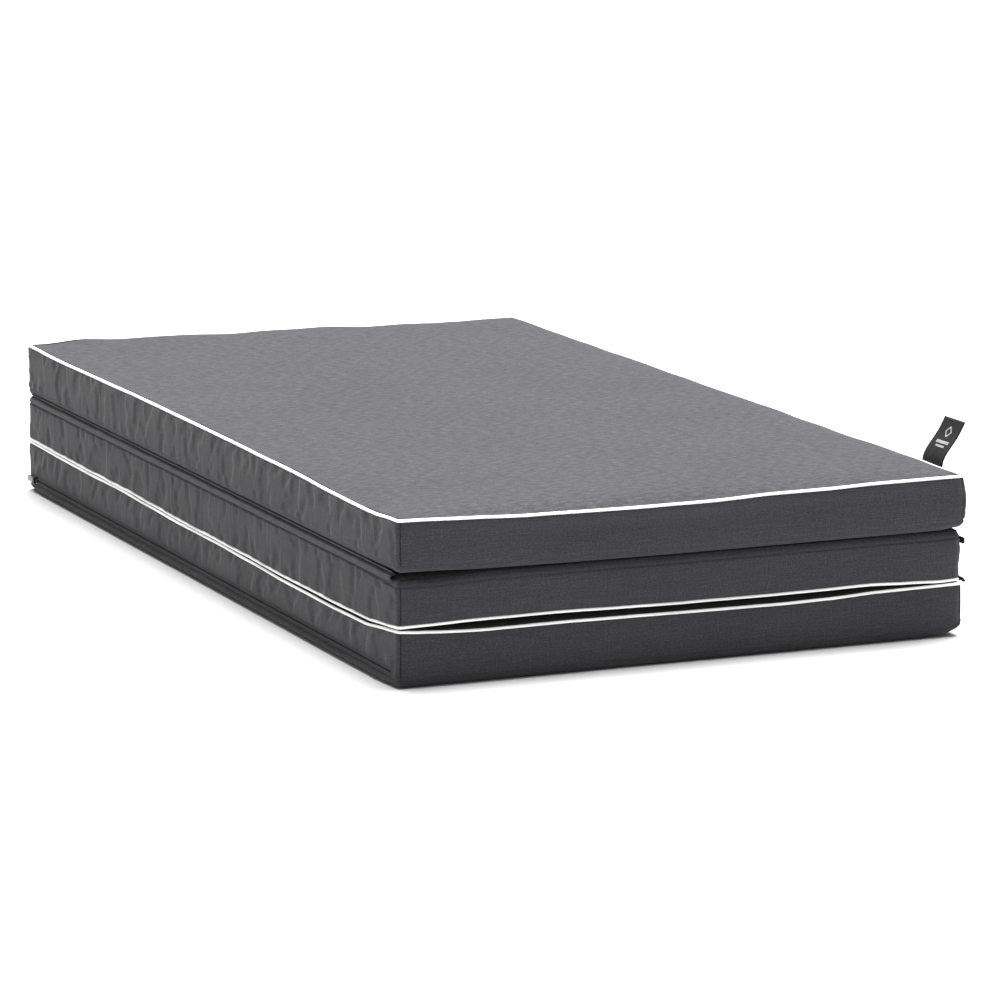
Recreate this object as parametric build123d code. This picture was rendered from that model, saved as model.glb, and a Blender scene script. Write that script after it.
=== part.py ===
from build123d import *
import os

# A tri-fold foam mattress, folded in a Z into a stack of three equal panels.
# Each panel is a foam core in its own zipped cloth cover, with piping round the
# sleeping face. Cloth strips join the panels along their long edges.
#
# Frame: millimetres, +Z up, origin at the centre of the lower panel's underside.
# X runs across the fold lines, Y along them. The front is -Y.
# The lower panel lies sleeping side up, the middle one upside down, and the upper
# one sleeping side up again.

os.makedirs("parts", exist_ok=True)

# Panel
WIDTH = 650.0            # X, one panel
LENGTH = 1200.0          # Y
THICKNESS = 57.0         # foam and cover together
CLOTH = 1.0              # lined woven cover cloth
CORNER_RADIUS = 8.0      # upright corners of the cover, seen from above
EDGE_RADIUS = 6.0        # rounded edge from the underside to the sides
RIM_HEIGHT = 8.5         # how far the underside cloth wraps up the sides
SEAM_INSET = 3.5         # upright corner seams, in from the side faces
FOAM_TOP_RADIUS = 6.0    # foam's edge behind the piping
CUT_MARGIN = 5.0         # how far a cutting box runs past what it cuts

# Stack
SLEEP_GAP = 2.2          # between the lower and middle panels, held by the pipings
UNDER_GAP = 0.8          # between the middle and upper panels' undersides

# Piping: a cord in a cloth sleeve, its centre just inside the panel's edge
PIPING_RADIUS = 1.9
PIPING_CORD_RADIUS = 1.25
PIPING_INSET = 1.25

# Zip: a reverse coil zip behind a slit in one long side
ZIP_HEIGHT = 15.0        # slit's middle, above the underside
ZIP_SLIT = 3.0
ZIP_HALF_LENGTH = 582.0
TAPE_REACH = 6.8         # tape's outer edge, from the slit's middle
TAPE_THICKNESS = 0.7
COIL_WIDTH = 2.0         # one half of the coil
COIL_THICKNESS = 1.6
CHANNEL_DEPTH = 5.5      # groove in the foam behind the zip
CHANNEL_MARGIN = 1.0
STOP_LENGTH = 3.0

# Slider and pull
SLIDER_LENGTH = 12.0
SLIDER_WIDTH = 8.5
SLIDER_PLATE = 1.2
SLIDER_CORNER = 2.5
SLIDER_BACK_INSET = 1.0  # back plate's long edges, in from the front plate's
SLIDER_CLEARANCE = 0.35  # between the slider's front plate and the cover
SLIDER_REST = 572.0      # slider's place along Y when the zip is closed
POST_WIDTH = 1.2
POST_LENGTH = 5.0
LUG_THICKNESS = 1.2
LUG_GAP = 5.0            # between the two lugs that hold the pull
LUG_HEIGHT = 3.4
LUG_WIDTH = 3.2
PIN_RADIUS = 0.7
PIN_RISE = 2.3           # pin's centre above the front plate
PULL_LENGTH = 22.0
PULL_WIDTH = 7.0
PULL_NECK = 4.4
PULL_NECK_REACH = 3.0    # neck's length past the eye
PULL_CORNER = 2.1
PULL_THICKNESS = 1.2
EYE_RADIUS = 1.75
EYE_BORE = 0.85

# Fold strips
LOWER_AXIS_OUT = 4.0     # lower fold line, out from the panels' +X side
UPPER_AXIS_OUT = 2.0     # upper fold line, out from the panels' -X side
STRIP_HALF_LENGTH = LENGTH / 2 - 14.0
STRIP_CLEARANCE = 0.35   # between a leaf and the plane of the fold line
LOWER_LEAF_DROP = 1.4    # thickness of a lower leaf, its sewn fold included
LOWER_LEAF_TUCK = 0.3    # how far a lower leaf reaches in over the panel's edge
UPPER_LEAF_HEIGHT = 9.0
UPPER_LEAF_THICKNESS = 1.0

# Woven label, a folded ribbon that stands in the upper panel's piping seam
LABEL_WIDTH = 45.0
LABEL_FRONT_DISTANCE = 72.0   # its middle, from the front end
LABEL_RISE = 50.0
LABEL_LEAN = 30.0
LABEL_THICKNESS = 1.0
LABEL_FOOT_OUT = 0.5     # its foot, out from the panel's side
LABEL_SAG = 3.0          # how far its middle bows out of a straight line

# Heights worked out from the stack
MIDDLE_SLEEP_Z = THICKNESS + SLEEP_GAP
MIDDLE_UNDER_Z = MIDDLE_SLEEP_Z + THICKNESS
UPPER_UNDER_Z = MIDDLE_UNDER_Z + UNDER_GAP
UPPER_SLEEP_Z = UPPER_UNDER_Z + THICKNESS
LOWER_FOLD_Z = THICKNESS + SLEEP_GAP / 2
UPPER_FOLD_Z = MIDDLE_UNDER_Z + UNDER_GAP / 2


def span(x0, x1, y0, y1, z0, z1):
    """A box from its lowest corner to its highest."""
    box = Box(x1 - x0, y1 - y0, z1 - z0)
    return Pos((x0 + x1) / 2, (y0 + y1) / 2, (z0 + z1) / 2) * box


# Every panel is made lying sleeping side up on Z = 0, with its zip at -X, and is
# then turned and lifted to its place in the stack.

def rounded_block(inset):
    """The panel's outer shape, or that shape moved in by the inset on every side."""
    outline = RectangleRounded(
        WIDTH - 2 * inset, LENGTH - 2 * inset, CORNER_RADIUS - inset)
    block = Pos(0, 0, inset) * extrude(outline, THICKNESS - 2 * inset)
    bottom_edges = block.faces().sort_by(Axis.Z)[0].edges()
    return fillet(bottom_edges, EDGE_RADIUS - inset)


def ring(radius):
    """A round bar that follows the panel's upper edge."""
    outline = RectangleRounded(
        WIDTH - 2 * PIPING_INSET, LENGTH - 2 * PIPING_INSET,
        CORNER_RADIUS - PIPING_INSET)
    path = Pos(0, 0, THICKNESS - PIPING_INSET) * outline.wire()
    section = Plane(origin=path @ 0, z_dir=path % 0) * Circle(radius)
    return sweep(section, path=path)


def zip_slit():
    """The open slit in the zip side."""
    return span(
        -WIDTH / 2 - CUT_MARGIN, -WIDTH / 2 + 2 * CLOTH,
        -ZIP_HALF_LENGTH, ZIP_HALF_LENGTH,
        ZIP_HEIGHT - ZIP_SLIT / 2, ZIP_HEIGHT + ZIP_SLIT / 2)


def foam_core():
    """Foam block with rounded edges and a groove that the zip lies in."""
    block = rounded_block(CLOTH)
    top_edges = block.faces().sort_by(Axis.Z)[-1].edges()
    block = fillet(top_edges, FOAM_TOP_RADIUS)
    reach = TAPE_REACH + CHANNEL_MARGIN
    end = ZIP_HALF_LENGTH + CHANNEL_MARGIN
    groove = span(
        -WIDTH / 2, -WIDTH / 2 + CLOTH + CHANNEL_DEPTH,
        -end, end, ZIP_HEIGHT - reach, ZIP_HEIGHT + reach)
    return block - groove


def cover_cloths(piping):
    """The cover's cloths: sleeping face, underside and the five strips of its sides."""
    skin = rounded_block(0) - rounded_block(CLOTH) - piping
    half_w = WIDTH / 2 + CUT_MARGIN
    half_l = LENGTH / 2 + CUT_MARGIN
    seam_x = WIDTH / 2 - SEAM_INSET
    boxing_top = THICKNESS - CLOTH
    band = span(-half_w, half_w, -half_l, half_l, RIM_HEIGHT, boxing_top)
    sides = skin & band - zip_slit()
    strip = {
        "boxing_front": span(-seam_x, seam_x, -half_l, 0, RIM_HEIGHT, boxing_top),
        "boxing_back": span(-seam_x, seam_x, 0, half_l, RIM_HEIGHT, boxing_top),
        "boxing_plain_side": span(seam_x, half_w, -half_l, half_l, RIM_HEIGHT, boxing_top),
        "boxing_zip_side": span(-half_w, -seam_x, -half_l, half_l, ZIP_HEIGHT, boxing_top),
        "zip_facing": span(-half_w, -seam_x, -half_l, half_l, RIM_HEIGHT, ZIP_HEIGHT),
    }
    cloths = {name: sides & region for name, region in strip.items()}
    cloths["sleep_cloth"] = skin & span(
        -half_w, half_w, -half_l, half_l, boxing_top, THICKNESS + CUT_MARGIN)
    cloths["under_cloth"] = skin & span(
        -half_w, half_w, -half_l, half_l, -CUT_MARGIN, RIM_HEIGHT)
    return cloths


def mirrored_pair(lower_half):
    """A zip's lower half with its upper half, mirrored across the slit."""
    slit_plane = Plane.XY.offset(ZIP_HEIGHT)
    return lower_half + mirror(lower_half, about=slit_plane)


def zip_tapes():
    """Two tapes on the inside of the cover, one each side of the slit."""
    inner = -WIDTH / 2 + CLOTH
    return mirrored_pair(span(
        inner, inner + TAPE_THICKNESS, -ZIP_HALF_LENGTH, ZIP_HALF_LENGTH,
        ZIP_HEIGHT - TAPE_REACH, ZIP_HEIGHT - ZIP_SLIT / 2))


def coil_span(y0, y1):
    """Both halves of the coil's room, from one place along the zip to another."""
    inner = -WIDTH / 2 + CLOTH + TAPE_THICKNESS
    edge = ZIP_HEIGHT - ZIP_SLIT / 2
    return mirrored_pair(span(
        inner, inner + COIL_THICKNESS, y0, y1, edge - COIL_WIDTH, edge))


def zip_coil():
    """The two halves of the coil, on the backs of the tapes."""
    end = ZIP_HALF_LENGTH - STOP_LENGTH
    return coil_span(-end, end)


def zip_stops():
    """The stops at both ends of the coil."""
    start = ZIP_HALF_LENGTH - STOP_LENGTH
    return coil_span(-ZIP_HALF_LENGTH, -start) + coil_span(start, ZIP_HALF_LENGTH)


def slider_faces():
    """X of the slider's front plate: its inner face, outer face and the pin."""
    back = -WIDTH / 2 - SLIDER_CLEARANCE
    front = back - SLIDER_PLATE
    return back, front, front - PIN_RISE


def zip_slider(y):
    """Front plate, post through the slit, back plate, and lugs with their pin."""
    back, front, pin_x = slider_faces()
    inside = -WIDTH / 2 + CLOTH + TAPE_THICKNESS + COIL_THICKNESS + SLIDER_CLEARANCE
    half_l = SLIDER_LENGTH / 2
    half_w = SLIDER_WIDTH / 2
    low = ZIP_HEIGHT - half_w
    high = ZIP_HEIGHT + half_w
    front_plate = span(front, back, y - half_l, y + half_l, low, high)
    upright_edges = front_plate.edges().filter_by(Axis.X)
    front_plate = fillet(upright_edges, SLIDER_CORNER)
    post = span(
        back, inside, y - POST_LENGTH / 2, y + POST_LENGTH / 2,
        ZIP_HEIGHT - POST_WIDTH / 2, ZIP_HEIGHT + POST_WIDTH / 2)
    back_plate = span(
        inside, inside + SLIDER_PLATE, y - half_l, y + half_l,
        low + SLIDER_BACK_INSET, high - SLIDER_BACK_INSET)
    slider = front_plate + post + back_plate
    for side in (-1, 1):
        lug_z = ZIP_HEIGHT + side * (LUG_GAP + LUG_THICKNESS) / 2
        slider += span(
            front - LUG_HEIGHT, front, y - LUG_WIDTH / 2, y + LUG_WIDTH / 2,
            lug_z - LUG_THICKNESS / 2, lug_z + LUG_THICKNESS / 2)
    pin = Cylinder(PIN_RADIUS, LUG_GAP + LUG_THICKNESS)
    return slider + Pos(pin_x, y, ZIP_HEIGHT) * pin


def zip_pull(y, way):
    """Flat tab that turns on the slider's pin, pointing along Y, towards way."""
    pin_x = slider_faces()[2]
    neck_end = EYE_RADIUS + PULL_NECK_REACH
    outline = Circle(EYE_RADIUS)
    outline += Pos(0, neck_end / 2) * Rectangle(PULL_THICKNESS, neck_end)
    neck = extrude(outline, PULL_NECK / 2, both=True)
    tab = Pos(0, (neck_end + PULL_LENGTH) / 2, 0) * Box(
        PULL_THICKNESS, PULL_LENGTH - neck_end, PULL_WIDTH)
    tab = fillet(tab.edges().filter_by(Axis.X), PULL_CORNER)
    pull = neck + tab - Cylinder(EYE_BORE, PULL_WIDTH)
    turn = 0 if way > 0 else 180
    return Pos(pin_x, y, ZIP_HEIGHT) * Rot(0, 0, turn) * pull


def panel(zip_closes_at):
    """One panel's pieces by name; the zip closes at the +Y or -Y end."""
    sleeve = ring(PIPING_RADIUS)
    cord = ring(PIPING_CORD_RADIUS)
    slider_y = zip_closes_at * SLIDER_REST
    pieces = cover_cloths(sleeve)
    pieces["foam_core"] = foam_core()
    pieces["piping"] = sleeve - cord
    pieces["piping_cord"] = cord
    pieces["zip_tapes"] = zip_tapes()
    pieces["zip_coil"] = zip_coil()
    pieces["zip_stops"] = zip_stops()
    pieces["zip_slider"] = zip_slider(slider_y)
    pieces["zip_pull"] = zip_pull(slider_y, zip_closes_at)
    return pieces


def placed(pieces, prefix, place):
    """Name a panel's pieces and move each one to its place in the stack."""
    return {prefix + "_" + name: place(shape) for name, shape in pieces.items()}


def middle_place(shape):
    """Turned over about Y, so the zip is at +X and the sleeping face is below."""
    return Pos(0, 0, MIDDLE_UNDER_Z) * Rot(0, 180, 0) * shape


def upper_place(shape):
    """Mirrored across X, so the zip is at +X, and lifted to the top."""
    return Pos(0, 0, UPPER_UNDER_Z) * mirror(shape, about=Plane.YZ)


def lower_fold_leaves(lower_piping, middle_piping):
    """Two leaves of the strip between the lower and middle panels, out to its fold."""
    outer = WIDTH / 2 + LOWER_AXIS_OUT - STRIP_CLEARANCE / 2
    top = LOWER_FOLD_Z - STRIP_CLEARANCE
    leaf = span(
        WIDTH / 2 - LOWER_LEAF_TUCK, outer, -STRIP_HALF_LENGTH, STRIP_HALF_LENGTH,
        top - LOWER_LEAF_DROP, top)
    other = mirror(leaf, about=Plane.XY.offset(LOWER_FOLD_Z))
    return leaf - lower_piping, other - middle_piping


def upper_fold_leaves():
    """Two leaves of the strip between the middle and upper panels, on their -X sides."""
    side = -WIDTH / 2
    top = UPPER_FOLD_Z - STRIP_CLEARANCE
    leaf = span(
        side - UPPER_LEAF_THICKNESS, side, -STRIP_HALF_LENGTH, STRIP_HALF_LENGTH,
        top - UPPER_LEAF_HEIGHT, top)
    other = mirror(leaf, about=Plane.XY.offset(UPPER_FOLD_Z))
    return leaf, other


def woven_label():
    """A doubled ribbon that rises from the piping and leans out over the side."""
    foot_x = WIDTH / 2 + LABEL_FOOT_OUT
    foot_z = UPPER_SLEEP_Z - PIPING_INSET + PIPING_RADIUS
    bow_x = foot_x + LABEL_LEAN / 2 - LABEL_SAG
    bow_z = foot_z + LABEL_RISE / 2 + LABEL_SAG
    curve = ThreePointArc(
        (foot_x, foot_z), (bow_x, bow_z), (foot_x + LABEL_LEAN, foot_z + LABEL_RISE))
    middle_y = -LENGTH / 2 + LABEL_FRONT_DISTANCE
    ribbon = offset(curve, LABEL_THICKNESS / 2)
    front = Plane.XZ.offset(LABEL_WIDTH / 2 - middle_y)
    return extrude(front * make_face(ribbon), -LABEL_WIDTH)


def build():
    """Every piece of the folded mattress by its node name."""
    pieces = placed(panel(1), "lower", lambda shape: shape)
    pieces.update(placed(panel(-1), "middle", middle_place))
    pieces.update(placed(panel(-1), "upper", upper_place))
    lower_sleeve = ring(PIPING_RADIUS)
    leaf_on_lower, leaf_on_middle = lower_fold_leaves(lower_sleeve, middle_place(lower_sleeve))
    pieces["lower_fold_leaf_on_lower"] = leaf_on_lower
    pieces["lower_fold_leaf_on_middle"] = leaf_on_middle
    leaf_on_middle, leaf_on_upper = upper_fold_leaves()
    pieces["upper_fold_leaf_on_middle"] = leaf_on_middle
    pieces["upper_fold_leaf_on_upper"] = leaf_on_upper
    pieces["upper_woven_label"] = woven_label()
    return pieces


for node, shape in build().items():
    export_step(shape, "parts/" + node + ".step")
    print(node, "volume", round(shape.volume), "mm3")
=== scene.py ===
import math

import bpy
import numpy as np
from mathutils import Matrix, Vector


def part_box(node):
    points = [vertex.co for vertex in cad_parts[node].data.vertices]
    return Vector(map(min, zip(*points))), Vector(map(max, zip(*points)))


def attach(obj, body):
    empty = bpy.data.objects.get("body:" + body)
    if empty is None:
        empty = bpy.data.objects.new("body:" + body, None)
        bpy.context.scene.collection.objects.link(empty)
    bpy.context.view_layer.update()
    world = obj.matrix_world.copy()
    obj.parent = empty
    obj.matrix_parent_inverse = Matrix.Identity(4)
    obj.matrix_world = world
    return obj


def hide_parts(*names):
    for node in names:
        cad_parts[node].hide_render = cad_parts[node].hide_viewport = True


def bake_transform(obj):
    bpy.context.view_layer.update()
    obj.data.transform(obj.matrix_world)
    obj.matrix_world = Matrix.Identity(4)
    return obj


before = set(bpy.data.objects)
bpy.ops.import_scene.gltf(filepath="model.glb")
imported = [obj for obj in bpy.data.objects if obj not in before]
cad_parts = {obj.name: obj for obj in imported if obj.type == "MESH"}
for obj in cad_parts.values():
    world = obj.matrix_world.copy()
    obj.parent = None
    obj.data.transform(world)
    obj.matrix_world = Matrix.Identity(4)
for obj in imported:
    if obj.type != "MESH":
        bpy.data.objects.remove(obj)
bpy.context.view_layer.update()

# A tri-fold foam mattress, folded in a Z into three stacked panels. Each panel is a
# foam block in a charcoal canvas cover, piped in white round its sleeping face.
# Every panel is shaped lying sleeping side up on Z = 0 with its zip at -X, and then
# turned and lifted to its place in the stack.

MM = 0.001

# ---------------------------------------------------------------- sizes

PANELS = ("lower", "middle", "upper")
under_low, under_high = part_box("lower_under_cloth")
sleep_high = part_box("lower_sleep_cloth")[1]
HALF_W = under_high[0]
HALF_L = under_high[1]
THICK = sleep_high[2] - under_low[2]
SEAM_Z = under_high[2] - under_low[2]
PIPE_LOW, PIPE_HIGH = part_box("lower_piping")
PIPE_R = (PIPE_HIGH[2] - PIPE_LOW[2]) / 2
PIPE_IN = HALF_W - (PIPE_HIGH[0] - PIPE_R)
CORD_R = (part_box("lower_piping_cord")[1][2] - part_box("lower_piping_cord")[0][2]) / 2
facing_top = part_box("lower_zip_facing")[1][2]
ZIP_Z = facing_top - under_low[2]
ZIP_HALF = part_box("lower_zip_tapes")[1][1]
CORNER_R = 5 * MM        # upright corners, seen from above
EDGE_R = 6 * MM          # underside edge
FACE_IN = 5 * MM         # where the sleeping face starts, in from the side

# How each panel lies: the signs of its X, Y and Z, and the height of its underside
PLACE = {
    "lower": ((1, 1, 1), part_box("lower_under_cloth")[0][2]),
    "middle": ((-1, 1, -1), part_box("middle_under_cloth")[1][2]),
    "upper": ((-1, -1, 1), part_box("upper_under_cloth")[0][2]),
}


def to_stack(panel, points):
    """Points of a panel's own frame, moved to their place in the stack."""
    signs, base = PLACE[panel]
    return np.asarray(points) * np.array(signs, float) + np.array([0, 0, base])


# ---------------------------------------------------------------- materials

MATH = "ShaderNodeMath"
RAMP = "ShaderNodeValToRGB"


def linear(code):
    """A linear colour from an sRGB hex value."""
    channels = [int(code[i:i + 2], 16) / 255 for i in (1, 3, 5)]
    curve = [c / 12.92 if c <= 0.04045 else ((c + 0.055) / 1.055) ** 2.4 for c in channels]
    return (*curve, 1.0)


def add(tree, kind, inputs=None, stops=(), **settings):
    """Adds a node with its properties and, on a colour ramp, its (position, hex) stops,
    and sets or links its inputs."""
    node = tree.nodes.new(kind)
    for name, value in settings.items():
        setattr(node, name, value)
    for key, value in (inputs or {}).items():
        socket = node.inputs[key]
        if isinstance(value, bpy.types.NodeSocket):
            tree.links.new(value, socket)
        else:
            socket.default_value = value
    if stops:
        elements = node.color_ramp.elements
        while len(elements) < len(stops):
            elements.new(0.5)
        for element, (position, code) in zip(elements, stops):
            element.position = position
            element.color = linear(code)
    return node


def new_material(name, roughness, **shader_inputs):
    """A material with only its surface shader and output."""
    material = bpy.data.materials.new(name)
    material.use_nodes = True
    tree = material.node_tree
    tree.nodes.clear()
    shader = add(tree, "ShaderNodeBsdfPrincipled", {"Roughness": roughness, **shader_inputs})
    add(tree, "ShaderNodeOutputMaterial", {"Surface": shader.outputs["BSDF"]})
    return material, tree, shader


def dress(tree, shader, colour, height, distance, strength=0.5):
    """Gives a surface its colour and its fine relief."""
    tree.links.new(colour, shader.inputs["Base Color"])
    relief = add(tree, "ShaderNodeBump", {
        "Height": height, "Distance": distance, "Strength": strength})
    tree.links.new(relief.outputs["Normal"], shader.inputs["Normal"])
    return relief


def charcoal_canvas():
    """Charcoal polyester-cotton canvas, plain woven and dyed: matt, with fine slub
    streaks along the weft and lighter fuzz at grazing angles. Real threads are 0.5 mm
    apart, drawn 1 mm apart so that they show. The UV map is in metres, weft along U."""
    material, tree, shader = new_material("charcoal_woven_canvas", 0.9, **{
        "Sheen Weight": SHEEN, "Sheen Roughness": 0.45, "Specular IOR Level": 0.2})
    cloth = add(tree, "ShaderNodeUVMap", uv_map="cloth").outputs["UV"]

    def noise(step_u, step_v, detail):
        stretched = add(tree, "ShaderNodeMapping", {
            "Vector": cloth, "Scale": (1 / step_u, 1 / step_v, 1)}).outputs["Vector"]
        return add(tree, "ShaderNodeTexNoise", {
            "Vector": stretched, "Scale": 1.0, "Detail": detail, "Roughness": 0.6},
            noise_dimensions="2D").outputs["Fac"]

    def wave(axis):
        return add(tree, "ShaderNodeTexWave", {
            "Vector": cloth, "Scale": math.pi / (20 * 1.0 * MM), "Distortion": 0.6,
            "Detail": 1.0}, bands_direction=axis).outputs["Fac"]

    weft = noise(34 * MM, 1.0 * MM, 3.0)
    weave = add(tree, MATH, {0: wave("X"), 1: wave("Y")}, operation="MULTIPLY").outputs[0]
    # "slack" is 1 on the long sides, 0 on the short ones and -1 on the faces
    place = add(tree, "ShaderNodeAttribute", attribute_name="slack").outputs["Fac"]
    on_face, on_side = (
        add(tree, MATH, {0: place, 1: sign}, operation="MULTIPLY", use_clamp=True).outputs[0]
        for sign in (-1.0, 1.0))
    slub = add(tree, MATH, {0: noise(11 * MM, 4.5 * MM, 3.0), 1: 0.5}, operation="SUBTRACT")
    slub = add(tree, MATH, {0: slub.outputs[0], 1: on_face}, operation="MULTIPLY").outputs[0]
    # Each pattern is spread about its own middle, so that the tone stays about 0.5
    patterns = (
        (slub, 0.0, 1.4),
        (weft, 0.5, 0.55),
        (noise(1.0 * MM, 26 * MM, 2.0), 0.5, 0.3),
        (noise(2.4 * MM, 1.6 * MM, 2.0), 0.5, 0.9),
        (noise(170 * MM, 120 * MM, 3.0), 0.5, 0.2),
        (weave, 0.25, 0.2))
    tone = 0.5 - sum(middle * weight for _, middle, weight in patterns)
    for pattern, _, weight in patterns:
        tone = add(tree, MATH, {0: pattern, 1: weight, 2: tone},
                   operation="MULTIPLY_ADD").outputs[0]
    colour = add(tree, RAMP, {"Fac": tone}, stops=CANVAS_TONES).outputs["Color"]
    # Painted shade: the canvas is darkened along the upright corner seams, where their creases lie in
    # shade
    painted_seam_shade = add(tree, "ShaderNodeMapRange", {
        "Value": add(tree, "ShaderNodeAttribute", attribute_name="painted_seam_shade").outputs["Fac"],
        "From Min": 0.55, "From Max": 0.85, "To Max": 0.8}).outputs[0]
    colour_with_seam_shade = add(tree, "ShaderNodeMixRGB", {
        "Fac": painted_seam_shade, "Color1": colour, "Color2": linear("#101011")}).outputs[0]
    # Faint upright gathers in patches on the long sides, under the threads' own relief
    patchy = add(tree, "ShaderNodeMapRange", {
        "Value": noise(70 * MM, 200 * MM, 1.0), "From Min": 0.4, "From Max": 0.65}).outputs[0]
    upright = noise(9 * MM, 90 * MM, 2.0)
    for share in (on_side, patchy):
        upright = add(tree, MATH, {0: upright, 1: share}, operation="MULTIPLY").outputs[0]
    threads = add(tree, MATH, {0: weft, 1: 0.6, 2: weave}, operation="MULTIPLY_ADD").outputs[0]
    fine = add(tree, "ShaderNodeBump", {
        "Height": threads, "Distance": 0.12 * MM, "Strength": 0.6}).outputs["Normal"]
    gathers = dress(tree, shader, colour_with_seam_shade, upright, 1.3 * MM)
    tree.links.new(fine, gathers.inputs["Normal"])
    return material


def white_poplin():
    """White cotton poplin, cut on the bias and sewn round a cord: bright and matt,
    with faint slanting threads."""
    material, tree, shader = new_material("white_bias_poplin", 0.8, **{
        "Sheen Weight": 0.1, "Specular IOR Level": 0.3})
    place = add(tree, "ShaderNodeTexCoord").outputs["Object"]
    soil = add(tree, "ShaderNodeTexNoise", {
        "Vector": place, "Scale": 1 / (70 * MM), "Detail": 3.0}).outputs["Fac"]
    colour = add(tree, RAMP, {"Fac": soil}, stops=[
        (0.3, "#e9e8e6"), (0.5, "#f3f2f1"), (0.7, "#f8f8f7")]).outputs["Color"]
    slant = add(tree, "ShaderNodeMapping", {
        "Vector": place, "Rotation": (0.6, 0.5, math.radians(45))}).outputs["Vector"]
    threads = add(tree, "ShaderNodeTexWave", {
        "Vector": slant, "Scale": math.pi / (20 * 0.8 * MM), "Distortion": 0.8,
        "Detail": 1.0}).outputs["Fac"]
    dress(tree, shader, colour, threads, 0.1 * MM)
    return material


def speckled(name, colours, roughness, grain, relief, **shader_inputs):
    """A finish whose colour and relief come from one fine grain."""
    material, tree, shader = new_material(name, roughness, **shader_inputs)
    place = add(tree, "ShaderNodeTexCoord").outputs["Object"]
    noise = add(tree, "ShaderNodeTexNoise", {
        "Vector": place, "Scale": 1 / grain, "Detail": 4.0, "Roughness": 0.6}).outputs["Fac"]
    stops = [(0.25 + 0.5 * i / (len(colours) - 1), c) for i, c in enumerate(colours)]
    colour = add(tree, RAMP, {"Fac": noise}, stops=stops).outputs["Color"]
    dress(tree, shader, colour, noise, relief)
    return material


def open_cell_foam():
    """Polyurethane foam, cut from a block: cream, dead matt, pitted with open cells, with painted shade
    darkening the cells' hollows.
    """
    material, tree, shader = new_material("cut_open_cell_foam", 0.95)
    place = add(tree, "ShaderNodeTexCoord").outputs["Object"]
    cells = add(tree, "ShaderNodeTexVoronoi", {
        "Vector": place, "Scale": 1 / (1.2 * MM)}).outputs["Distance"]
    # Painted shade: the colour darkens towards each cell's hollow, the low point of the relief
    colour = add(tree, RAMP, {"Fac": cells}, stops=[
        (0.0, "#b9a97c"), (0.5, "#e6d9ae"), (1.0, "#efe6c6")]).outputs["Color"]
    dress(tree, shader, colour, cells, 0.4 * MM, 0.7)
    return material


SHEEN = 0.12
CANVAS_TONES = ((0.1, "#2a2a2c"), (0.5, "#373739"), (0.9, "#464648"))
CANVAS = charcoal_canvas()
POPLIN = white_poplin()
FOAM = open_cell_foam()
# Cotton filler cord, unbleached and twisted: hidden in the piping
CORD = speckled("twisted_cotton_cord", ("#cfc8b6", "#e6e1d3"), 0.9, 1.0 * MM, 0.2 * MM)
# Polyester zip tape, black, woven in a fine herringbone too small to show
TAPE = speckled("black_polyester_zip_tape", ("#0f0f10", "#1b1b1d"), 0.8, 0.6 * MM, 0.1 * MM)
# Nylon monofilament coil, black, extruded: a low gloss
NYLON = speckled("black_nylon_coil", ("#101011", "#18181a"), 0.42, 0.5 * MM, 0.03 * MM)
# Die-cast zinc, black enamel, worn to a dull gloss
ENAMEL = speckled("black_enamelled_zinc", ("#121213", "#1e1e20", "#2a2a2c"), 0.38,
                  2.0 * MM, 0.03 * MM, **{"Metallic": 0.0, "Coat Weight": 0.25})
# Spun polyester thread in the canvas's colour, a little shinier than the cloth
THREAD = speckled("charcoal_sewing_thread", ("#3a3a3c", "#59595b"), 0.6, 0.4 * MM, 0.05 * MM)


# ---------------------------------------------------------------- panel covers

def lines(half, pitch):
    """Grid lines from -half to half, with three in each corner's width."""
    inner = half - CORNER_R
    count = int(round(2 * inner / pitch))
    steps = np.linspace(-inner, inner, count + 1)
    corner = inner + CORNER_R * np.array([1, 2, 3]) / 3
    return np.concatenate([-corner[::-1], steps, corner])


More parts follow.
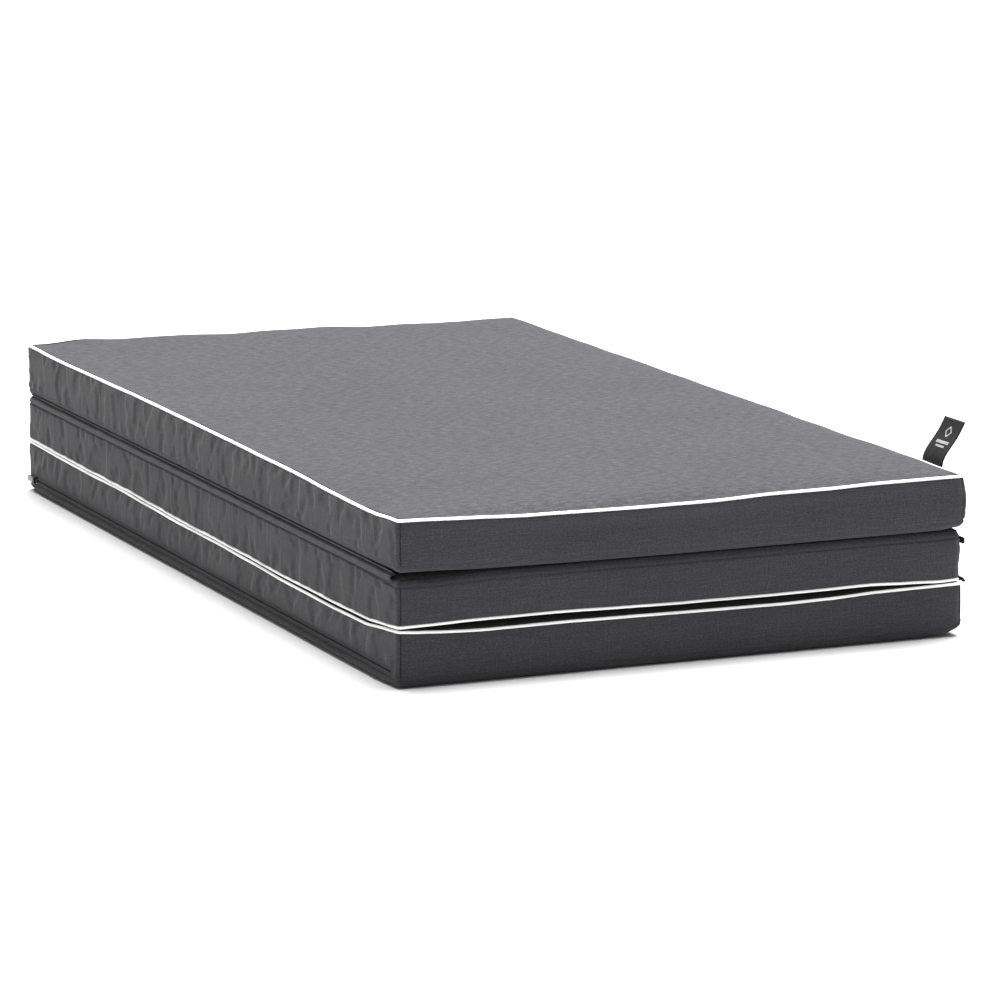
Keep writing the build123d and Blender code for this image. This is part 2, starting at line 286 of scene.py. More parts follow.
class PanelGrid:
    """A closed box of quads: rings up the sides, and a grid on each face.
    rings is a list of (inset, height) from the underside's edge to the sleeping face."""

    def __init__(self, pitch_x, pitch_y, rings):
        self.xs = lines(HALF_W, pitch_x)
        self.ys = lines(HALF_L, pitch_y)
        self.rings = np.array(rings)
        nx, ny = len(self.xs) - 1, len(self.ys) - 1
        front = [(i, 0) for i in range(nx)]
        right = [(nx, j) for j in range(ny)]
        back = [(i, ny) for i in range(nx, 0, -1)]
        left = [(0, j) for j in range(ny, 0, -1)]
        self.loop = np.array(front + right + back + left)
        self.nx, self.ny, self.nc = nx, ny, len(self.loop)
        edge = self.plan(self.loop[:, 0], self.loop[:, 1], 0.0)
        step = np.linalg.norm(np.roll(edge, -1, 0) - edge, axis=1)
        self.length = step.sum()
        self.s = np.concatenate([[0], np.cumsum(step)[:-1]])
        inner = self.plan(self.loop[:, 0], self.loop[:, 1], 4 * MM)
        out = edge - inner
        self.out = out / np.linalg.norm(out, axis=1)[:, None]
        self.edge = edge

    def plan(self, i, j, inset):
        """X and Y of grid corners (i, j), with the outline moved in and its corners round."""
        def split(value, half):
            inner = half - CORNER_R
            over = np.maximum(np.abs(value) - inner, 0) / CORNER_R
            return np.sign(value), np.minimum(np.abs(value), inner), over
        sx, cx, u = split(self.xs[i], HALF_W)
        sy, cy, v = split(self.ys[j], HALF_L)
        both = (u > 0) & (v > 0)
        shrink = np.where(both, np.maximum(u, v) / np.maximum(np.hypot(u, v), 1e-9), 1.0)
        radius = CORNER_R - inset
        return np.stack([sx * (cx + u * shrink * radius), sy * (cy + v * shrink * radius)], -1)

    def side_points(self):
        """Points [ring, column, xyz] of the sides."""
        points = np.zeros((len(self.rings), self.nc, 3))
        for r, (inset, height) in enumerate(self.rings):
            points[r, :, :2] = self.plan(self.loop[:, 0], self.loop[:, 1], inset)
            points[r, :, 2] = height
        return points

    def face_points(self, top):
        """Points [i, j, xyz] of one face."""
        inset, height = self.rings[-1 if top else 0]
        i, j = np.meshgrid(np.arange(self.nx + 1), np.arange(self.ny + 1), indexing="ij")
        points = np.zeros((self.nx + 1, self.ny + 1, 3))
        points[..., :2] = self.plan(i, j, inset)
        points[..., 2] = height
        return points

    def topology(self):
        """Quads over the vertex list: sides first, then each face's inner points."""
        nr, nc, nx, ny = len(self.rings), self.nc, self.nx, self.ny
        quads, region = [], []
        c = np.arange(nc)
        after = (c + 1) % nc
        side_of = np.concatenate([np.full(nx, 1), np.full(ny, 2), np.full(nx, 3), np.full(ny, 4)])
        for r in range(nr - 1):
            quads.append(np.stack([r * nc + c, r * nc + after,
                                   (r + 1) * nc + after, (r + 1) * nc + c], 1))
            region.append(side_of)
        start = nr * nc
        for top in (False, True):
            ids = np.full((nx + 1, ny + 1), -1)
            ring = (nr - 1) * nc if top else 0
            ids[self.loop[:, 0], self.loop[:, 1]] = ring + c
            inner = ids < 0
            ids[inner] = start + np.arange(inner.sum())
            start += int(inner.sum())
            square = np.stack([ids[:-1, :-1], ids[1:, :-1], ids[1:, 1:], ids[:-1, 1:]], -1)
            square = square.reshape(-1, 4)
            quads.append(square if top else square[:, ::-1])
            region.append(np.full(len(square), 5 if top else 0))
        return np.concatenate(quads), np.concatenate(region)

    def gather(self, side, bottom, top):
        """One vertex list from the three arrays, in topology's order."""
        inner = np.ones((self.nx + 1, self.ny + 1), bool)
        inner[self.loop[:, 0], self.loop[:, 1]] = False
        return np.concatenate([side.reshape(-1, 3), bottom[inner], top[inner]])

    def scatter(self, points):
        """The three arrays from one vertex list."""
        nr, nc = len(self.rings), self.nc
        side = points[:nr * nc].reshape(nr, nc, 3)
        inner = np.ones((self.nx + 1, self.ny + 1), bool)
        inner[self.loop[:, 0], self.loop[:, 1]] = False
        count = int(inner.sum())
        faces = []
        for start, ring in ((nr * nc, 0), (nr * nc + count, nr - 1)):
            grid = np.zeros((self.nx + 1, self.ny + 1, 3))
            grid[self.loop[:, 0], self.loop[:, 1]] = side[ring]
            grid[inner] = points[start:start + count]
            faces.append(grid)
        return side, faces[0], faces[1]


def edge_rings(steps):
    """Rings round the underside's rounded edge."""
    turns = np.linspace(0, math.pi / 2, steps + 1)
    return [(EDGE_R * (1 - math.sin(a)), EDGE_R * (1 - math.cos(a))) for a in turns]


def mesh_from(name, points, quads, material):
    """A mesh object from arrays of points and faces."""
    mesh = bpy.data.meshes.new(name)
    mesh.from_pydata(np.asarray(points).tolist(), [], np.asarray(quads).tolist())
    mesh.polygons.foreach_set("use_smooth", [True] * len(mesh.polygons))
    if material:
        mesh.materials.append(material)
    obj = bpy.data.objects.new(name, mesh)
    bpy.context.scene.collection.objects.link(obj)
    return obj


def between(table, at):
    """Catmull-Rom values of table, along its first axis, at the fractional places."""
    last = len(table) - 1
    at = np.clip(at, 0, last)
    i = np.minimum(at.astype(int), last - 1)
    t = (at - i).reshape((-1,) + (1,) * (table.ndim - 1))
    p0, p1 = table[np.maximum(i - 1, 0)], table[i]
    p2, p3 = table[i + 1], table[np.minimum(i + 2, last)]
    return 0.5 * (2 * p1 + (p2 - p0) * t + (2 * p0 - 5 * p1 + 4 * p2 - p3) * t ** 2
                  + (3 * p1 - p0 - 3 * p2 + p3) * t ** 3)


def resample(table, rows_from, cols_from, rows_to, cols_to):
    """A table of values moved from one grid's lines to another's."""
    row_at = np.interp(rows_to, rows_from, np.arange(len(rows_from)))
    col_at = np.interp(cols_to, cols_from, np.arange(len(cols_from)))
    by_row = between(table, row_at)
    return between(by_row.swapaxes(0, 1), col_at).swapaxes(0, 1)


def ring_distance(rings):
    """Distance along the profile to each ring."""
    step = np.linalg.norm(np.diff(rings, axis=0), axis=1)
    return np.concatenate([[0], np.cumsum(step)])


SOFT_RINGS = edge_rings(2) + [(0, 15 * MM), (0, 22 * MM), (0, 29 * MM), (0, 36 * MM),
                              (0, 43 * MM), (0, 50 * MM), (2 * MM, 55 * MM), (FACE_IN, THICK)]


CLOTH_SETTINGS = {
    "quality": 4, "mass": 0.25, "tension_stiffness": 25, "compression_stiffness": 25,
    "shear_stiffness": 8, "bending_stiffness": 0.4, "air_damping": 4, "use_pressure": True,
    "uniform_pressure_force": 3.0, "vertex_group_mass": "held", "shrink_min": -0.05,
    "shrink_max": 0.0, "vertex_group_shrink": "true_size"}
LAST_FRAME = 18


def blown_cover(seed):
    """How far a slack cloth cover moves when the foam fills it, on a coarse grid.
    The long sides are cut a little long for their seams, so they buckle."""
    grid = PanelGrid(16 * MM, 9.5 * MM, SOFT_RINGS)
    side, bottom, top = grid.side_points(), grid.face_points(False), grid.face_points(True)
    start = grid.gather(side, bottom, top)
    chance = np.random.default_rng(seed)
    start += chance.normal(0, 0.15 * MM, start.shape)
    quads, _ = grid.topology()
    obj = mesh_from("blown_cover", start, quads, None)
    nr, nc = len(grid.rings), grid.nc
    held = obj.vertex_groups.new(name="held")
    seam_rows = [2, nr - 2, nr - 1]
    held.add([r * nc + c for r in seam_rows for c in range(nc)], 1.0, "REPLACE")
    true_size = obj.vertex_groups.new(name="true_size")
    across = np.abs(grid.out[:, 0]) > 0.9
    loose = {r * nc + int(c) for r in range(2, nr - 1) for c in np.flatnonzero(across)}
    true_size.add([i for i in range(len(start)) if i not in loose], 1.0, "REPLACE")
    cloth = obj.modifiers.new("cloth", "CLOTH")
    for name, value in CLOTH_SETTINGS.items():
        setattr(cloth.settings, name, value)
    cloth.settings.effector_weights.gravity = 0
    cloth.collision_settings.use_collision = False
    scene = bpy.context.scene
    for number in range(1, LAST_FRAME + 1):
        scene.frame_set(number)
    shaped = obj.evaluated_get(bpy.context.evaluated_depsgraph_get())
    moved = np.array([v.co for v in shaped.data.vertices])
    scene.frame_set(1)
    bpy.data.objects.remove(obj)
    return grid, grid.scatter(moved - start)


# ---- fields that shape the covers

def loop_wave(grid, seed, waves, size, limit=0.5):
    """A smooth random wave round the panel's outline, with its given number of waves."""
    chance = np.random.default_rng(seed)
    turn = 2 * math.pi * grid.s / grid.length
    total = np.zeros(grid.nc)
    for k in range(waves[0], waves[1]):
        total += chance.normal() * np.sin(k * turn + chance.uniform(0, 2 * math.pi)) / k ** limit
    return size * total / np.std(total)


CROWN = {"lower": 0.4 * MM, "middle": 0.4 * MM, "upper": 3.2 * MM}
FLATNESS = {"lower": 0.12 * MM, "middle": 0.12 * MM, "upper": 0.3 * MM}
BULGE = {"lower": 2.6 * MM, "middle": 2.6 * MM, "upper": 3.8 * MM}
PUCKERS = {"lower": 0.85, "middle": 0.8, "upper": 0.45}
# The front right corners: how much more they bulge, and how far they stand out
FRONT_RIGHT_BULGE = {"lower": 0, "middle": -1.5 * MM, "upper": 3.2 * MM}
FRONT_RIGHT_SHIFT = {"lower": 0, "middle": -3.2 * MM, "upper": 0.4 * MM}
EDGE_REACH = 45 * MM      # how far round the corners an edge's own line is felt
CORNER_REACH = 28 * MM    # how far from the corners the sides bulge less
FRONT_RIGHT_REACH = 22 * MM
CROWN_REACH = 22 * MM     # how far in from its edges the sleeping face has its full crown
TOP_REACH = 26 * MM       # how far in the faces follow their edges' rise
BOTTOM_REACH = 20 * MM
DRIFT_LENGTH = 220 * MM   # wavelength of the sleeping face's unevenness
END_CREASES = 16
FACE_CREASES = 170
SIDE_CAP = 0.7 * MM       # how far the cloth simulation may push a side out
FOOT_SPREAD = 3.4 * MM    # how far the lowest panel's foot is pressed out at the left
SEEDS = {"lower": 11, "middle": 23, "upper": 37}

# How the stack's weight and the cloth's ease shape each panel's edges at the front and
# at the left, and the upper one's at the back: (place along the side from -1 to 1,
# rise in millimetres).
SLEEP_LINE = {
    "lower": (
        [(-1, 3.6), (-0.93, 0.4), (-0.85, -1.0), (-0.7, -1.8), (-0.4, -1.6), (-0.1, -2.5),
         (0.2, -3.4), (0.35, -3.8), (0.5, -3.0), (0.68, -0.6), (0.9, 0.2), (1, 0.6)],
        [(-1, 2.6), (-0.95, -1.4), (-0.85, -5.0), (-0.7, -6.0), (-0.45, -5.3), (-0.25, -3.5),
         (-0.1, -2.2), (0.1, -2.2), (0.28, -0.2), (0.45, 1.2), (0.64, 0.6), (0.83, 1.6),
         (1, 3.0)]),
    "middle": (
        [(-1, 3.4), (-0.93, 4.0), (-0.75, 4.8), (-0.4, 4.8), (-0.2, 3.3), (0, 2.7), (0.3, 2.3),
         (0.5, 2.6), (0.66, 3.4), (0.8, 1.6), (0.93, -0.2), (1, 0.1)],
        [(-1, 2.4), (-0.95, -1.0), (-0.86, -3.6), (-0.72, -4.2), (-0.45, -4.5), (-0.25, -3.5),
         (-0.1, -2.8), (0.1, -2.8), (0.28, -0.8), (0.45, 0.6), (0.64, 0.0), (0.83, 1.0),
         (1, 2.4)]),
    "upper": (
        [(-1, 1.0), (-0.75, -1.3), (-0.55, -4.0), (-0.2, -4.8), (0.05, -4.8), (0.3, -2.6),
         (0.5, -2.1), (0.7, -0.5), (1, -0.3)],
        [(-1, 1.0), (-0.9, -2.5), (-0.72, -1.0), (-0.5, 1.8), (-0.2, 3.5), (0.1, 4.5),
         (0.5, 4.5), (0.75, 3.0), (1, 5.5)],
        [(-1, 5.5), (-0.7, 6.0), (-0.3, 5.0), (0.1, 2.5), (0.5, 0.5), (1, 0)])}
UNDER_LINE = {
    "lower": ([(-1, 0), (0.86, 0), (0.94, 2.0), (1, 8.0)], [(-1, 0), (1, 0)]),
    "middle": (
        [(-1, -4.0), (-0.9, -4.5), (-0.7, -1.8), (-0.4, -2.2), (0, -2.7), (0.6, -2.5),
         (1, -2.8)],
        [(-1, -4.0), (-0.9, -1.5), (-0.7, 0), (1, 0)]),
    "upper": (
        [(-1, 2.5), (-0.9, 1.5), (-0.7, -0.5), (-0.4, -1.8), (0, -2.5), (0.9, -2.3), (1, 0.5)],
        [(-1, 2.5), (-0.9, 0.5), (-0.8, 0), (1, 0)])}


def eased(table, at):
    """Values of (place, rise in millimetres) pairs, smooth from each one to the next."""
    places, rises = np.array(table).T
    i = np.clip(np.searchsorted(places, at) - 1, 0, len(places) - 2)
    t = np.clip((at - places[i]) / (places[i + 1] - places[i]), 0, 1)
    t = 0.5 * t + 0.5 * t * t * (3 - 2 * t)
    return (rises[i] + (rises[i + 1] - rises[i]) * t) * MM


class CoverFields:
    """The displacements of one panel's outline, as values at each column of its grid."""

    def __init__(self, panel, grid):
        self.panel, self.grid = panel, grid
        seed = SEEDS[panel]
        signs = PLACE[panel][0]
        self.x = x = grid.edge[:, 0] * signs[0]
        self.y = y = grid.edge[:, 1] * signs[1]
        at_front = np.exp(-((y + HALF_L) / EDGE_REACH) ** 2)
        at_left = np.exp(-((x + HALF_W) / EDGE_REACH) ** 2)

        def edge_line(tables):
            total = at_front * eased(tables[0], x / HALF_W)
            total += at_left * eased(tables[1], y / HALF_L)
            weight = at_front + at_left
            if len(tables) > 2:
                at_back = np.exp(-((y - HALF_L) / EDGE_REACH) ** 2)
                total += at_back * eased(tables[2], x / HALF_W)
                weight = weight + at_back
            return signs[2] * total / np.maximum(weight, 1)

        corner = np.exp(-(np.hypot(np.abs(x) - HALF_W, np.abs(y) - HALF_L) / CORNER_REACH) ** 2)
        elsewhere = 1 - np.clip(at_front + at_left, 0, 1)
        wave = loop_wave(grid, seed, (9, 46), 1.0 * MM)
        if panel != "upper":
            wave = np.minimum(wave, 0.3 * MM)
        wave *= 1 - 0.75 * np.exp(-((x - HALF_W) / EDGE_REACH) ** 2)
        self.sleep_edge = edge_line(SLEEP_LINE[panel]) + wave * (0.12 + 0.88 * elsewhere)
        self.under_edge = edge_line(UNDER_LINE[panel])
        if panel != "upper":
            rise = np.maximum(loop_wave(grid, seed + 1, (6, 30), 0.3 * MM), 0)
            self.under_edge += rise if panel == "middle" else 0
        self.sleep_out = loop_wave(grid, seed + 2, (8, 40), 0.3 * MM)
        self.bulge = BULGE[panel] + loop_wave(grid, seed + 3, (3, 16), 0.6 * MM)
        self.bulge *= 1 - 0.7 * corner
        # Beside a fold the sides stay flat, to lie together when it is open
        rightward = grid.out[:, 0] * signs[0]
        if panel != "lower":
            self.bulge *= 1 - 0.8 * np.clip(-rightward, 0, 1)
        if panel != "upper":
            self.bulge *= 1 - 0.6 * np.clip(rightward, 0, 1)
        near_right = np.exp(-(np.hypot(x - HALF_W, y + HALF_L) / FRONT_RIGHT_REACH) ** 2)
        self.bulge += FRONT_RIGHT_BULGE[panel] * near_right
        self.under_out = FRONT_RIGHT_SHIFT[panel] * near_right
        self.sleep_out += self.under_out
        self.slack = (np.abs(grid.out[:, 0]) > 0.9) * (1 - corner)

    def puckers(self, heights):
        """Upright folds in the long sides, as outward distances [ring, column]."""
        grid, panel = self.grid, self.panel
        chance = np.random.default_rng(SEEDS[panel] + 5)
        level = heights / THICK
        total = np.zeros((len(heights), grid.nc))
        y = grid.edge[:, 1]
        for side in (-1, 1):
            on_side = np.where(grid.out[:, 0] * side > 0.9, 1.0, 0.0)
            place = -HALF_L + 12 * MM
            while place < HALF_L - 12 * MM:
                place += chance.uniform(4, 19) * MM
                width = chance.uniform(2.4, 5.0) * MM
                size = chance.uniform(0.1, 0.55) * chance.choice([1, 1, -0.7]) * MM
                slant = chance.normal(0, 4.5) * MM
                bend = chance.normal(0, 1.2) * MM
                from_top = chance.random() < 0.6
                reach = chance.uniform(0.45, 1.2)
                depth = (1 - level) if from_top else level
                fade = np.clip(1 - depth / reach, 0, 1) ** 0.7 * np.clip(depth / 0.06, 0, 1)
                centre = place + slant * level + bend * np.sin(math.pi * level)
                spread = width * (0.8 + 0.7 * depth)
                shape = np.exp(-((y[None] - centre[:, None]) / spread[:, None]) ** 2)
                total += size * fade[:, None] * shape * on_side[None]
        ends = 1 - np.exp(-((np.abs(y) - HALF_L) / 0.04) ** 2)
        return total * ends[None] * PUCKERS[panel]

    def end_creases(self, heights):
        """A few shallow slanting creases in the short sides."""
        grid = self.grid
        chance = np.random.default_rng(SEEDS[self.panel] + 9)
        level = heights / THICK
        total = np.zeros((len(heights), grid.nc))
        x = grid.edge[:, 0]
        for side in (-1, 1):
            on_side = np.where(grid.out[:, 1] * side > 0.9, 1.0, 0.0)
            for _ in range(END_CREASES):
                centre = chance.uniform(-HALF_W, HALF_W) + chance.normal(0, 14) * MM * level
                width = chance.uniform(7, 22) * MM
                size = chance.normal(0, 0.22) * MM
                fade = np.clip(chance.uniform(0.5, 1.1) - (1 - level), 0, 1)
                shape = np.exp(-((x[None] - centre[:, None]) / width) ** 2)
                total += size * fade[:, None] * shape * on_side[None]
        return total


def face_creases(panel, x, y):
    """Short creases in the sleeping face, where it is eased on to the piping."""
    chance = np.random.default_rng(SEEDS[panel] + 13)
    total = np.zeros_like(x)
    size = 1.1 * MM if panel == "upper" else 0.2 * MM
    for _ in range(FACE_CREASES):
        along = chance.uniform(-1, 1)
        side = chance.integers(4)
        length = chance.uniform(10, 46) * MM
        width = chance.uniform(5, 9) * MM
        # Side 0 of the upper panel, turned about in the stack, lies at the front
        height = (1.8 if side == 0 else 0.7) * size
        height *= chance.choice([1, -0.7]) * chance.uniform(0.3, 1)
        tilt = chance.normal(0, 0.35)
        if side < 2:
            across, run = y - (-1) ** side * HALF_L, x - along * HALF_W
        else:
            across, run = x - (-1) ** side * HALF_W, y - along * HALF_L
        away = np.abs(across)
        total += height * np.exp(-((run + tilt * away) / width) ** 2) \
            * np.exp(-(away / length) ** 2) * np.clip(away / (8 * MM), 0, 1)
    return total


def drifts(seed, x, y, wavelength, size):
    """Broad unevenness over a face."""
    chance = np.random.default_rng(seed)
    total = np.zeros_like(x)
    for _ in range(14):
        angle = chance.uniform(0, math.pi)
        k = 2 * math.pi / (wavelength * chance.uniform(0.6, 1.8))
        total += np.sin(k * (x * math.cos(angle) + y * math.sin(angle)) + chance.uniform(0, 6.3))
    return size * total / math.sqrt(7)


# Rings of the finished cover: rounded edge, underside seam, zip, plain side, and the
# turn under the piping. Grooves are (height, half width, depth).
SEAM_GROOVE = (SEAM_Z + 0.3 * MM, 0.8 * MM, 1.3 * MM)
CORNER_SEAM_IN = 3.4 * MM
CORNER_SEAM_DEPTH = 1.1 * MM
SLIT_HALF = 0.8 * MM
SLIT_DEPTH = 0.95 * MM
LIP = 1.0 * MM
STITCH_RISE = 4.2 * MM
FINE_PITCH = (6.2 * MM, 2.9 * MM)
seam_mid = SEAM_GROOVE[0]
FINE_RINGS = edge_rings(5) + [
    (0, seam_mid), (0, seam_mid + 0.8 * MM), (0, 10.9 * MM), (0, 12.6 * MM),
    (0, ZIP_Z - SLIT_HALF - LIP), (0, ZIP_Z - SLIT_HALF - 0.25 * MM), (0, ZIP_Z - SLIT_HALF),
    (0, ZIP_Z + SLIT_HALF), (0, ZIP_Z + SLIT_HALF + 0.25 * MM), (0, ZIP_Z + SLIT_HALF + LIP),
    (0, 18.2 * MM), (0, 20 * MM)] + [
    (0, z * MM) for z in (23, 26.5, 30, 33.5, 37, 40.5, 44, 47.3, 50)] + [
    (0, 52.4 * MM), (0.5 * MM, 54.0 * MM), (2.2 * MM, 55.0 * MM), (3.6 * MM, 56.2 * MM),
    (FACE_IN, THICK)]


def weigh(heights, low, high):
    """0 below low, 1 above high, and smooth between."""
    t = np.clip((heights - low) / (high - low), 0, 1)
    return t * t * (3 - 2 * t)


def cover_shape(panel, blown):
    """The finished cover's grid, its fields and its three arrays of points."""
    grid = PanelGrid(*FINE_PITCH, FINE_RINGS)
    fields = CoverFields(panel, grid)
    side, bottom, top = grid.side_points(), grid.face_points(False), grid.face_points(True)
    heights = grid.rings[:, 1]
    upper_part = weigh(heights, 0.35 * THICK, THICK)[:, None]
    lower_part = 1 - weigh(heights, 0, 0.45 * THICK)[:, None]
    out = (fields.puckers(heights) + fields.end_creases(heights)
           + fields.bulge * np.sin(math.pi * np.clip(heights / THICK, 0, 1))[:, None] ** 1.2
           + fields.sleep_out * upper_part + fields.under_out * lower_part)
    if blown is not None:
        soft_grid, (soft_side, _, soft_top) = blown
        rows = ring_distance(grid.rings)
        soft_rows = ring_distance(soft_grid.rings)
        rows = rows * soft_rows[-1] / rows[-1]
        wrapped = np.concatenate([soft_side, soft_side[:, :1]], 1)
        round_to = np.concatenate([soft_grid.s, [soft_grid.length]])
        drift = resample(wrapped, soft_rows, round_to, rows, grid.s)
        outward = drift[..., 0] * grid.out[:, 0] + drift[..., 1] * grid.out[:, 1]
        out += SIDE_CAP * np.tanh(outward / SIDE_CAP)
    upright = (fields.sleep_edge[None] * upper_part + fields.under_edge[None] * lower_part)
    side[..., 0] += out * grid.out[:, 0]
    side[..., 1] += out * grid.out[:, 1]
    side[..., 2] += upright
    if panel == "lower":
        spread_foot(grid, fields, side)
    carve_side_seams(grid, side)
    x, y = top[..., 0], top[..., 1]
    reach_x, reach_y = HALF_W - np.abs(x), HALF_L - np.abs(y)
    crown = (1 - np.exp(-(reach_x - FACE_IN) / CROWN_REACH)) \
        * (1 - np.exp(-(reach_y - FACE_IN) / CROWN_REACH))
    lift = CROWN[panel] * crown + face_creases(panel, x, y) * crown ** 0.3
    lift += drifts(SEEDS[panel], x, y, DRIFT_LENGTH, FLATNESS[panel]) * crown
    if blown is not None:
        soft = resample(soft_top[..., 2], soft_grid.xs, soft_grid.ys, grid.xs, grid.ys)
        lift += np.clip(soft, 0, CROWN[panel] * 0.4) * crown
    top[..., 2] += lift + spread_edge(grid, fields.sleep_edge, x, y, TOP_REACH)
    bottom[..., 2] += spread_edge(grid, fields.under_edge, bottom[..., 0], bottom[..., 1], BOTTOM_REACH)
    return grid, fields, side, bottom, top


def spread_foot(grid, fields, side):
    """The lowest panel's foot, pressed out over the floor by the panels above."""
    heights = grid.rings[:, 1]
    press = weigh(heights, 0, 1.5 * MM) * (1 - weigh(heights, 6 * MM, 11 * MM))
    left = np.clip(-grid.out[:, 0], 0, 1) * (1 - np.exp(-((HALF_L - np.abs(fields.y)) / 0.03) ** 2))
    side[..., 0] -= FOOT_SPREAD * press[:, None] * left[None]


def spread_edge(grid, values, x, y, reach):
    """The outline's values carried in over a face, fading with distance."""
    nx, ny = grid.nx, grid.ny
    front, right = values[:nx + 1], values[nx:nx + ny + 1]
    back = values[nx + ny:2 * nx + ny + 1][::-1]
    left = np.concatenate([values[2 * nx + ny:], values[:1]])[::-1]
    total = np.zeros_like(x)
    weight = np.zeros_like(x)
    for value, away in ((front[:, None], y + HALF_L), (back[:, None], HALF_L - y),
                        (left[None, :], x + HALF_W), (right[None, :], HALF_W - x)):
        near = np.exp(-np.abs(away - FACE_IN) / reach)
        total += value * near ** 2
        weight += near
    return total / np.maximum(weight, 1e-6) * np.clip(weight, 0, 1) ** 0.2


def corner_seams(grid):
    """1 at the columns where two side strips are sewn together, and 0 elsewhere."""
    sewn = np.zeros(grid.nc)
    for sx in (-1, 1):
        for sy in (-1, 1):
            away = np.hypot(grid.edge[:, 0] - sx * (HALF_W - CORNER_SEAM_IN),
                            grid.edge[:, 1] - sy * HALF_L)
            sewn[np.argmin(away)] = 1
    return sewn


def carve_side_seams(grid, side):
    """The seam under the edge, the upright corner seams and the zip's slit and lips."""
    heights = grid.rings[:, 1]
    groove = np.zeros(len(heights))
    groove[np.argmin(np.abs(heights - seam_mid))] = -SEAM_GROOVE[2]
    out = np.repeat(groove[:, None], grid.nc, 1)
    body = weigh(heights, SEAM_Z, SEAM_Z + 2 * MM)[:, None]
    out -= CORNER_SEAM_DEPTH * corner_seams(grid)[None] * body
    along = np.abs(grid.edge[:, 1]) < ZIP_HALF
    zipped = (grid.out[:, 0] < -0.99) & along
    slit = np.abs(heights - ZIP_Z) < SLIT_HALF + 0.01 * MM
    lips = (np.abs(heights - ZIP_Z) > SLIT_HALF + 0.1 * MM) & \
        (np.abs(heights - ZIP_Z) < SLIT_HALF + LIP + 0.1 * MM)
    out[np.ix_(slit, zipped)] = -SLIT_DEPTH
    out[np.ix_(lips, zipped)] += 0.5 * MM
    # Near the zip the side stays flat, so the slider can run
    flat = np.ix_(np.abs(heights - ZIP_Z) < SLIT_HALF + 6 * MM, zipped)
    side[flat + (0,)] = np.maximum(side[flat + (0,)], -HALF_W - 0.25 * MM)
    side[..., 0] += out * grid.out[:, 0]
    side[..., 1] += out * grid.out[:, 1]


# ---------------------------------------------------------------- pieces along paths

def node_tree(name, numbers):
    """A geometry node tree that takes a curve, the named numbers and a material."""
    tree = bpy.data.node_groups.new(name, "GeometryNodeTree")
    face = tree.interface
    face.new_socket("Geometry", in_out="INPUT", socket_type="NodeSocketGeometry")
    for label, value in numbers.items():
        socket = face.new_socket(label, in_out="INPUT", socket_type="NodeSocketFloat")
        socket.default_value = value
    face.new_socket("Material", in_out="INPUT", socket_type="NodeSocketMaterial")
    face.new_socket("Geometry", in_out="OUTPUT", socket_type="NodeSocketGeometry")
    given = tree.nodes.new("NodeGroupInput").outputs
    return tree, given


def end_tree(tree, geometry, material):
    """Realizes the instances, sets the material and closes the tree."""
    real = add(tree, "GeometryNodeRealizeInstances", {"Geometry": geometry}).outputs[0]
    smooth = add(tree, "GeometryNodeSetShadeSmooth", {"Geometry": real}).outputs[0]
    done = add(tree, "GeometryNodeSetMaterial", {
        "Geometry": smooth, "Material": material}).outputs[0]
    add(tree, "NodeGroupOutput", {0: done})
    return tree


def tube_tree():
    """A round tube along the curve."""
    tree, given = node_tree("piping_tube", {"Radius": 1 * MM, "Sides": 10.0})
    section = add(tree, "GeometryNodeCurvePrimitiveCircle", {
        "Resolution": given["Sides"], "Radius": given["Radius"]}).outputs["Curve"]
    tube = add(tree, "GeometryNodeCurveToMesh", {
        "Curve": given["Geometry"], "Profile Curve": section, "Fill Caps": True}).outputs[0]
    return end_tree(tree, tube, given["Material"])


def pitch_points(tree, given):
    """Points a pitch apart along the curve."""
    dots = add(tree, "GeometryNodeResampleCurve", {
        "Curve": given["Geometry"], "Length": given["Pitch"]}, mode="LENGTH").outputs[0]
    return add(tree, "GeometryNodeCurveToPoints", {"Curve": dots}, mode="EVALUATED")


def stitch_tree():
    """Stitches a pitch apart along the curve, each a small flattened bead of thread."""
    tree, given = node_tree("lockstitch_row", {
        "Pitch": 4 * MM, "Stitch Length": 3 * MM, "Thread": 0.5 * MM})
    points = pitch_points(tree, given)
    bead = add(tree, "GeometryNodeMeshIcoSphere", {"Radius": 0.5, "Subdivisions": 2}).outputs[0]
    size = add(tree, "ShaderNodeCombineXYZ", {
        "X": given["Thread"], "Y": given["Thread"], "Z": given["Stitch Length"]}).outputs[0]
    placed = add(tree, "GeometryNodeInstanceOnPoints", {
        "Points": points.outputs["Points"], "Instance": bead,
        "Rotation": points.outputs["Rotation"], "Scale": size}).outputs[0]
    return end_tree(tree, placed, given["Material"])


def coil_tree():
    """Zip coil: a helix's loops a pitch apart along the curve, as flattened rings."""
    tree, given = node_tree("zip_coil_loops", {
        "Pitch": 1.4 * MM, "Loop Width": 2 * MM, "Loop Height": 1.2 * MM, "Wire": 0.3 * MM})
    points = pitch_points(tree, given)
    loop = add(tree, "GeometryNodeCurvePrimitiveCircle", {
        "Resolution": 8, "Radius": 0.5}).outputs["Curve"]
    flat = add(tree, "ShaderNodeCombineXYZ", {
        "X": given["Loop Width"], "Y": given["Loop Height"], "Z": 1.0}).outputs[0]
    shaped = add(tree, "GeometryNodeTransform", {"Geometry": loop, "Scale": flat}).outputs[0]
    wire = add(tree, "GeometryNodeCurvePrimitiveCircle", {
        "Resolution": 4, "Radius": given["Wire"]}).outputs["Curve"]
    ring = add(tree, "GeometryNodeCurveToMesh", {
        "Curve": shaped, "Profile Curve": wire}).outputs[0]
    placed = add(tree, "GeometryNodeInstanceOnPoints", {
        "Points": points.outputs["Points"], "Instance": ring,
        "Rotation": points.outputs["Rotation"]}).outputs[0]
    return end_tree(tree, placed, given["Material"])


